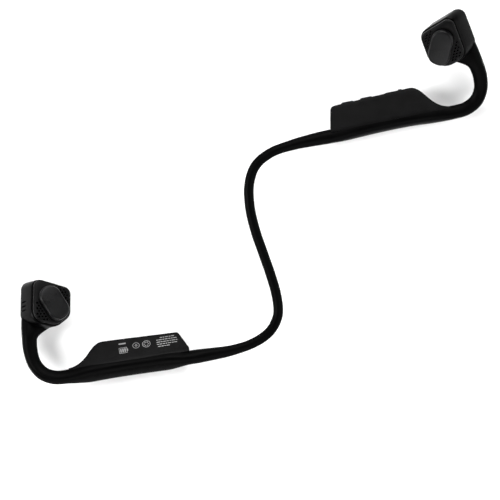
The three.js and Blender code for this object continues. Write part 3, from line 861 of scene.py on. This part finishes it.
def hole_places():
    """A honeycomb on both sides of the pad, inside the cover's rim."""
    rim = face_outline(-HOLE["rim"])
    along, off = pad_axes()
    places = []
    reach = range(-10, 11)  # more rows and columns than the face holds
    for row in reach:
        for column in reach:
            u = (column + (0.5 if row % 2 else 0)) * HOLE["pitch"]
            v = row * HOLE["pitch"] * HOLE["row"]
            p = Vector((PAD["x"], PAD["y"])) + along * u + off * v
            beside_pad = abs(v) > PAD["radius"] + HOLE["off_pad"] and u > HOLE["first"]
            if beside_pad and inside(rim, p.x, p.y):
                places.append(p)
    return places


def pod_cover(unit):
    """The pod's face: a rounded plate with its honeycomb of holes and the opening for the pad's stem."""
    cover = POD["cover"]
    stations = fillet(GAP * 0.6, cover + GAP, POD["cover_edge"])
    rings = stack(lambda grow: face_outline(grow + POD["cover_grow"]), stations)
    rings += cap_inwards(rings[-1], 6)
    piece = rings_mesh(f"{unit.side}_pod_face", rings, unit.pod, smooth_angle=POD_ANGLE)
    verts, faces = [], []
    sides = HOLE["sides"]
    for p in hole_places():
        start = len(verts)
        for z in (cover - HOLE["depth"], cover + 1):
            verts += circle(p.x, p.y, HOLE["radius"], z, sides)
        faces += [(start + i, start + (i + 1) % sides, start + sides + (i + 1) % sides, start + sides + i)
                  for i in range(sides)]
        faces.append(tuple(start + i for i in reversed(range(sides))))
        faces.append(tuple(start + sides + i for i in range(sides)))
    holes = make("cutter", verts, faces, unit.pod)
    stem = disc_mesh(STEM["x"], STEM["y"], STEM["radius"], -1, cover + 1, unit.pod)
    cut(piece, [holes, stem], angle=POD_ANGLE)
    dress(piece, "cover_plastic")
    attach(piece, f"{unit.side}_pod")
    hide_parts(f"{unit.side}_pod_cover")


def pad_outline(grow):
    """The stadium pad, held inside the face's outline, as one smooth convex curve about its middle."""
    along, _ = pad_axes()
    start = Vector((PAD["x"], PAD["y"]))
    end = start + along * PAD["length"]
    middle = start.lerp(end, 0.5)
    rim = face_outline(PAD["limit"])
    radius = PAD["radius"]
    points = []
    count = 120
    k = 10  # how sharply the two outlines blend
    for i in range(count):
        a = -2 * math.pi * i / count
        ray = Vector((math.cos(a), math.sin(a)))
        reach = stadium_reach(middle, ray, start, end, radius)
        limit = polygon_reach(middle, ray, rim)
        points.append(middle + ray * (((reach**-k + limit**-k) ** (-1 / k)) + grow))
    return points


def stadium_reach(origin, ray, a, b, radius):
    """How far along the ray the stadium from a to b reaches."""
    d = b - a

    def within(t):
        p = origin + ray * t
        share = min(1, max(0, (p - a).dot(d) / d.length_squared))
        return (p - (a + d * share)).length < radius

    return bisect(0.0, 30.0, 32, within)


def polygon_reach(origin, ray, outline):
    """How far along the ray a closed outline is first crossed."""
    best = math.inf
    for i, p in enumerate(outline):
        q = outline[(i + 1) % len(outline)]
        e = q - p
        det = ray.x * e.y - ray.y * e.x
        if abs(det) < 1e-12:
            continue
        w = p - origin
        t = (w.x * e.y - w.y * e.x) / det
        s = (w.x * ray.y - w.y * ray.x) / det
        if t > 0 and -1e-9 <= s <= 1 + 1e-9:
            best = min(best, t)
    return best


def contact_pad(unit):
    """The raised pad: a narrow foot, rounded sides and a slightly domed top."""
    foot = POD["cover"] + 2 * GAP
    top = foot + POD["rise"]
    stations = [(foot - 0.05, 0.5), (foot + 0.05, 0.12), (foot + 0.25, 0)]
    stations += fillet(foot, top, PAD["edge"], 8, both=False)[1:]
    rings = stack(pad_outline, stations)
    rings += cap_inwards(rings[-1], 7, crown=PAD["crown"])
    piece = rings_mesh(f"{unit.side}_pad", rings, unit.pod, smooth_angle=60)
    dress(piece, "pad_rubber")
    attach(piece, f"{unit.side}_transducer")
    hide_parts(f"{unit.side}_contact_pad")


def key_cap(unit, name, body, node):
    """A round cap in the pod's back with a dished middle and a turned rim."""
    r, back, front = KEY["radius"], KEY["back"], KEY["front"]
    dish = KEY["dish"]
    side = [(r - 0.3, front), (r, front - 0.3), (r, back + 0.45)]
    rim = [(r - 0.12, back + 0.15), (r - 0.45, back), (dish + 0.5, back), (dish + 0.15, back + 0.1)]
    hollow = [(dish - 0.25, back + 0.3), (dish * 0.7, back + 0.26), (dish * 0.4, back + 0.2),
              (dish * 0.15, back + 0.17)]
    rings = [circle(KEY["x"], KEY["y"], radius, z, 96) for radius, z in side + rim + hollow]
    piece = rings_mesh(name, rings, unit.pod, smooth_angle=50)
    dress(piece, "button_plastic")
    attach(piece, body)
    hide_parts(node)


# ---- The generic print on the left housing's inner face ----
INK = 0.03  # its thickness
LINE = 0.22
PRINT_BARS = (  # x, y, width, height: a bar, a battery's outline with its tip, and three cells in it
    (-33.4, 11.3, 3.4, 0.75),
    (-33.6, 5.9, 3.9, LINE), (-33.6, 9.1, 3.9, LINE), (-33.6, 6.12, LINE, 2.98), (-29.92, 6.12, LINE, 2.98),
    (-29.7, 7.0, 0.4, 1.3),
    (-33.0, 6.5, 0.6, 2.2), (-32.0, 6.5, 0.6, 2.2), (-31.0, 6.5, 0.6, 2.2),
)
PRINT_RINGS = ((-25.2, 1.7, LINE), (-25.2, 0.6, 0.25), (-20.2, 2.0, LINE))  # x, radius, line
PRINT_RINGS_Y = 9.4
BEADS = dict(x=-20.2, circle=1.05, radius=0.32, line=0.16, count=6)  # small rings in the last ring
DASH_ROWS = dict(x=-15.2, y=11.7, pitch=1.3, height=0.42, gap=0.32, widths=(7.6, 10.6, 10.0, 10.4, 6.4))
DASHES = (1.1, 0.7, 1.6, 0.9, 1.3)


def label():
    """A bar, a battery outline, two plain ring figures and rows of plain dashes: no lettering."""
    unit = LEFT
    z = FIN["high"] + HAIR
    verts, faces = [], []

    def patch(points):
        start = len(verts)
        verts.extend((x, y, z) for x, y in points)
        faces.append(tuple(range(start, start + len(points))))

    def bar(x, y, w, h):
        patch([(x, y), (x + w, y), (x + w, y + h), (x, y + h)])

    def ring(x, y, r, thick, sides=32):
        for i in range(sides):
            a, b = (2 * math.pi * k / sides for k in (i, i + 1))
            corners = (r, a), (r, b), (r - thick, b), (r - thick, a)
            patch([(x + q * math.cos(c), y + q * math.sin(c)) for q, c in corners])

    for place in PRINT_BARS:
        bar(*place)
    for x, radius, line in PRINT_RINGS:
        ring(x, PRINT_RINGS_Y, radius, line)
    for i in range(BEADS["count"]):
        a = 2 * math.pi * i / BEADS["count"]
        ring(BEADS["x"] + BEADS["circle"] * math.cos(a), PRINT_RINGS_Y + BEADS["circle"] * math.sin(a),
             BEADS["radius"], BEADS["line"], 16)
    widest = max(DASH_ROWS["widths"])
    for row, width in enumerate(DASH_ROWS["widths"]):
        x = DASH_ROWS["x"] + (widest - width) * (0.6 if row == 0 else 0.1)
        y = DASH_ROWS["y"] - DASH_ROWS["pitch"] * row
        end = x + width
        step = 0
        while x < end - 0.5:
            dash = DASHES[(step + row) % len(DASHES)]
            bar(x, y, min(dash, end - x), DASH_ROWS["height"])
            x += dash + DASH_ROWS["gap"]
            step += 1
    mesh = bpy.data.meshes.new("left_print")
    mesh.from_pydata([tuple(unit.metres(v)) for v in verts], [], faces)
    obj = bpy.data.objects.new("left_print", mesh)
    bpy.context.scene.collection.objects.link(obj)
    thick = obj.modifiers.new("ink", "SOLIDIFY")
    thick.thickness = INK * MM
    thick.offset = 1
    bpy.context.view_layer.update()
    apply_modifiers(obj)
    obj.data.materials.append(LOOKS["print"])
    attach(obj, "left_housing")


LOOKS["print"] = new_material("label_print", (0.2, 0.2, 0.2), 0.6, grain=0.3, grain_size=0.3, mottle=0.3)


# ---- Floor, light and camera ----
FLOOR_SIZE = 3.0
FLOOR_DROP = 0.4 * MM  # below the object, whose skins lie a little under the CAD's lowest point


def stage():
    """The white floor, four softboxes and a faint white surround."""
    bpy.ops.mesh.primitive_grid_add(x_subdivisions=4, y_subdivisions=4, size=FLOOR_SIZE,
                                    location=(0, 0, -FLOOR_DROP))
    floor = bpy.context.object
    floor.name = "floor"
    material = bpy.data.materials.new("pale_floor")
    material.use_nodes = True
    shader = material.node_tree.nodes["Principled BSDF"]
    shader.inputs["Base Color"].default_value = (0.9, 0.9, 0.9, 1)
    shader.inputs["Roughness"].default_value = 0.9
    shader.inputs["Specular IOR Level"].default_value = 0.1
    floor.data.materials.append(material)

    world = bpy.data.worlds.new("studio")
    bpy.context.scene.world = world
    world.use_nodes = True
    background = world.node_tree.nodes["Background"]
    background.inputs["Color"].default_value = (1, 1, 1, 1)
    background.inputs["Strength"].default_value = 0.12

    def softbox(name, azimuth, elevation, width, power):
        """A square lamp a metre away, aimed at the middle of the floor."""
        data = bpy.data.lights.new(name, "AREA")
        data.shape = "SQUARE"
        data.size = width
        data.energy = power
        lamp = bpy.data.objects.new(name, data)
        bpy.context.scene.collection.objects.link(lamp)
        across, up = math.radians(azimuth), math.radians(elevation)
        place = Vector((math.cos(across) * math.cos(up), math.sin(across) * math.cos(up), math.sin(up)))
        lamp.location = place
        lamp.rotation_euler = place.to_track_quat("Z", "Y").to_euler()

    softbox("left_softbox", 178, 40, 0.4, 9)
    softbox("top_softbox", 95, 42, 0.6, 9.5)
    softbox("right_softbox", 0, 40, 0.8, 6.5)
    softbox("near_softbox", 270, 40, 0.8, 9)
    bpy.context.scene.view_settings.view_transform = "Standard"


PICTURE_WIDTH = 500 / 2.08  # millimetres of the floor across the picture
CAMERA_DISTANCE = 6  # metres: a long lens, so that high parts keep their place
CAMERA_AIM = (-0.00216, -0.02524)
SENSOR = 36


def camera():
    """A camera straight above the object."""
    data = bpy.data.cameras.new("camera")
    data.sensor_width = SENSOR
    data.lens = SENSOR * CAMERA_DISTANCE / (PICTURE_WIDTH * MM)
    data.clip_start = 0.01
    data.clip_end = 20
    eye = bpy.data.objects.new("camera", data)
    bpy.context.scene.collection.objects.link(eye)
    eye.location = (*CAMERA_AIM, CAMERA_DISTANCE)
    bpy.context.scene.camera = eye


# ---- Assembly ----
camera()
stage()
for node, obj in frame["nodes"].items():
    look = SLOT_OF[node]
    obj.data.materials.clear()
    obj.data.materials.append(LOOKS[look])
for unit in (LEFT, RIGHT):
    spine_and_hook(unit)
    fins(unit)
    pod_shell(unit)
    pod_cover(unit)
    contact_pad(unit)
key_cap(LEFT, "multifunction_key", "multifunction_button", "multifunction_button")
key_cap(RIGHT, "right_accent_disc", "right_pod", "right_accent_plate")
volume_buttons(RIGHT)
port_flap(RIGHT)
band_skins()
label()
